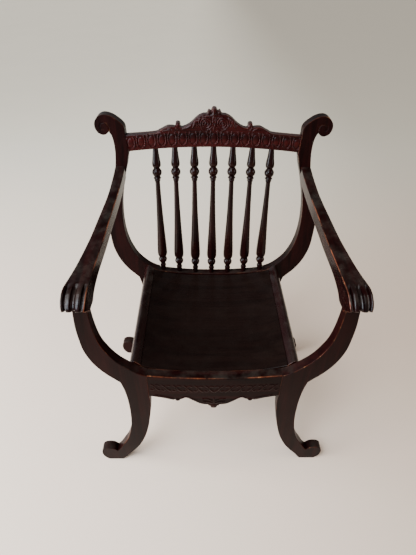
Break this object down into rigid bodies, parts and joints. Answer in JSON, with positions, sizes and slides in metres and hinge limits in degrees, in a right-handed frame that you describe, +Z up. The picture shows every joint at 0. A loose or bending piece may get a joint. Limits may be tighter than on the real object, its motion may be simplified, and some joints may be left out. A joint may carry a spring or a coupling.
{
  "type": "wooden armchair",
  "caption": "Dark mahogany curule-style armchair with U-shaped frames on scroll feet, a turned-spindle back, carved crest and front rails, and fluted arm ends.",
  "frame": {"origin": "centre of the bounding box's bottom face: on the floor, under the middle of the chair", "axes": "+Z up; -Y is the way the sitter faces; +X is to the right of someone looking at the front of the chair"},
  "size_m": [0.68, 0.5472, 0.925],
  "materials": {
    "mahogany": "dark red-brown mahogany under a glossy, lightly worn lacquer",
    "seat_lacquer": "near-black glossy lacquer on the dished seat panel",
    "beech": "plain unfinished hardwood",
    "steel": "plain steel wood screws"
  },
  "bodies": {
    "root": {"arm_left": "mahogany", "arm_right": "mahogany", "arm_screw_left": "steel", "arm_screw_right": "steel", "back_post_left": "mahogany", "back_post_right": "mahogany", "back_seat_rail": "mahogany", "block_screw_back_left_end": "steel", "block_screw_back_left_side": "steel", "block_screw_back_right_end": "steel", "block_screw_back_right_side": "steel", "block_screw_front_left_end": "steel", "block_screw_front_left_side": "steel", "block_screw_front_right_end": "steel", "block_screw_front_right_side": "steel", "corner_block_back_left": "beech", "corner_block_back_right": "beech", "corner_block_front_left": "beech", "corner_block_front_right": "beech", "crest_rail": "mahogany", "dowel_arm_left": "beech", "dowel_arm_right": "beech", "dowel_back_rail_left_lower": "beech", "dowel_back_rail_left_upper": "beech", "dowel_back_rail_right_lower": "beech", "dowel_back_rail_right_upper": "beech", "dowel_crest_left_lower": "beech", "dowel_crest_left_upper": "beech", "dowel_crest_right_lower": "beech", "dowel_crest_right_upper": "beech", "dowel_front_rail_left_lower": "beech", "dowel_front_rail_left_upper": "beech", "dowel_front_rail_right_lower": "beech", "dowel_front_rail_right_upper": "beech", "dowel_side_rail_back_left_lower": "beech", "dowel_side_rail_back_left_upper": "beech", "dowel_side_rail_back_right_lower": "beech", "dowel_side_rail_back_right_upper": "beech", "dowel_side_rail_front_left_lower": "beech", "dowel_side_rail_front_left_upper": "beech", "dowel_side_rail_front_right_lower": "beech", "dowel_side_rail_front_right_upper": "beech", "front_leg_left": "mahogany", "front_leg_right": "mahogany", "front_rail": "mahogany", "seat_panel": "seat_lacquer", "seat_side_rail_left": "mahogany", "seat_side_rail_right": "mahogany", "spindle_1": "mahogany", "spindle_2": "mahogany", "spindle_3": "mahogany", "spindle_4": "mahogany", "spindle_5": "mahogany", "spindle_6": "mahogany", "spindle_7": "mahogany"}
  },
  "joints": []
}
